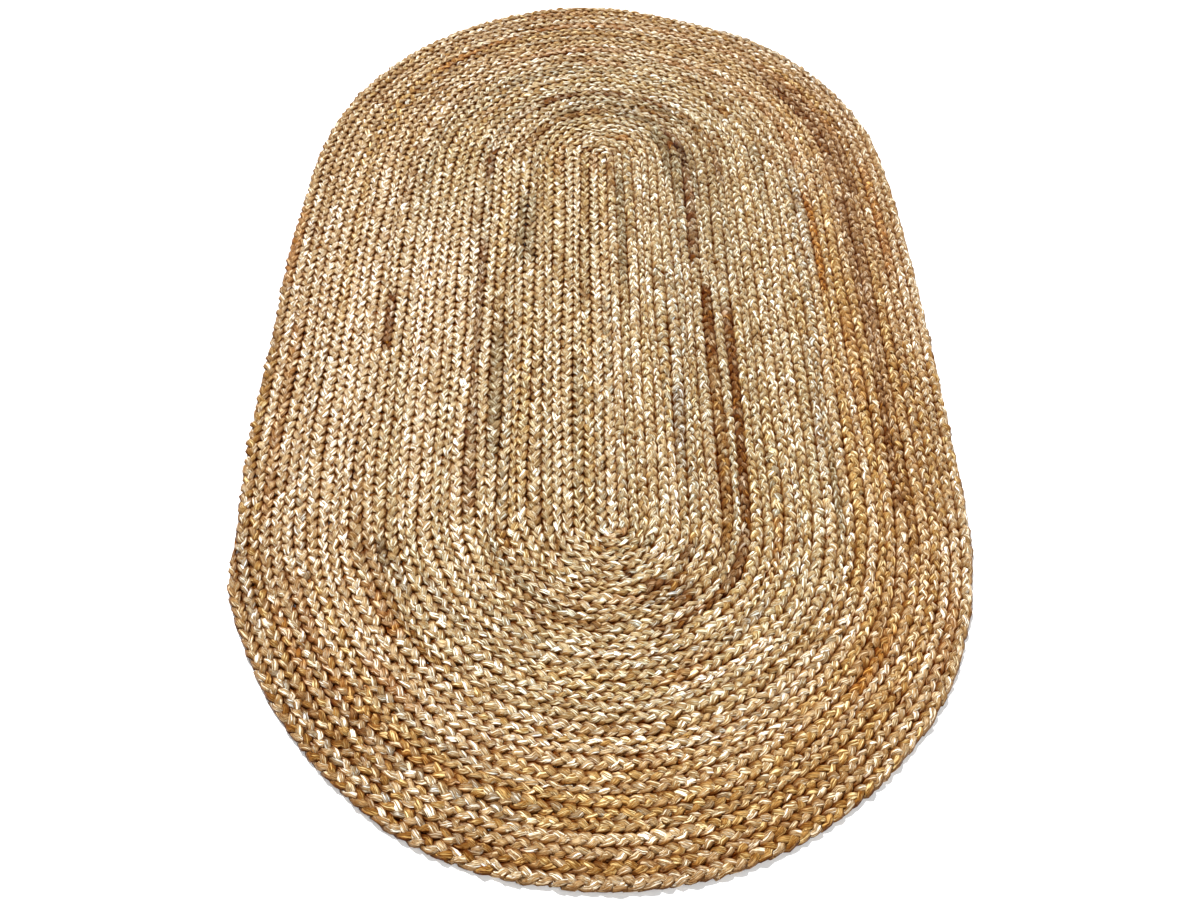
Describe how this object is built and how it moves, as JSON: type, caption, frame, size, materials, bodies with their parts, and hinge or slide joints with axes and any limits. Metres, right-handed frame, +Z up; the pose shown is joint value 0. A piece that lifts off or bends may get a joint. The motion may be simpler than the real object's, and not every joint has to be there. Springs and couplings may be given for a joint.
{
  "type": "oval braided jute rug",
  "caption": "Flat oval floor rug: one three-strand jute plait wound round and round from a straight middle run and sewn edge to edge, with its outer end tapered into one long side.",
  "frame": {"origin": "centre of the underside, at the floor", "axes": "+Z up out of the floor, +Y along the rug towards its far end, +X to the right across it; the plait's outer end is on the -X side in the -Y half"},
  "size_m": [1.2082, 2.1576, 0.011],
  "materials": {
    "jute_plait": "undyed jute in a flat three-strand plait, golden tan with pale straw and brown strands, matt with a faint sheen along the fibres"
  },
  "bodies": {
    "root": {"plaited_mat": "jute_plait"}
  },
  "joints": []
}
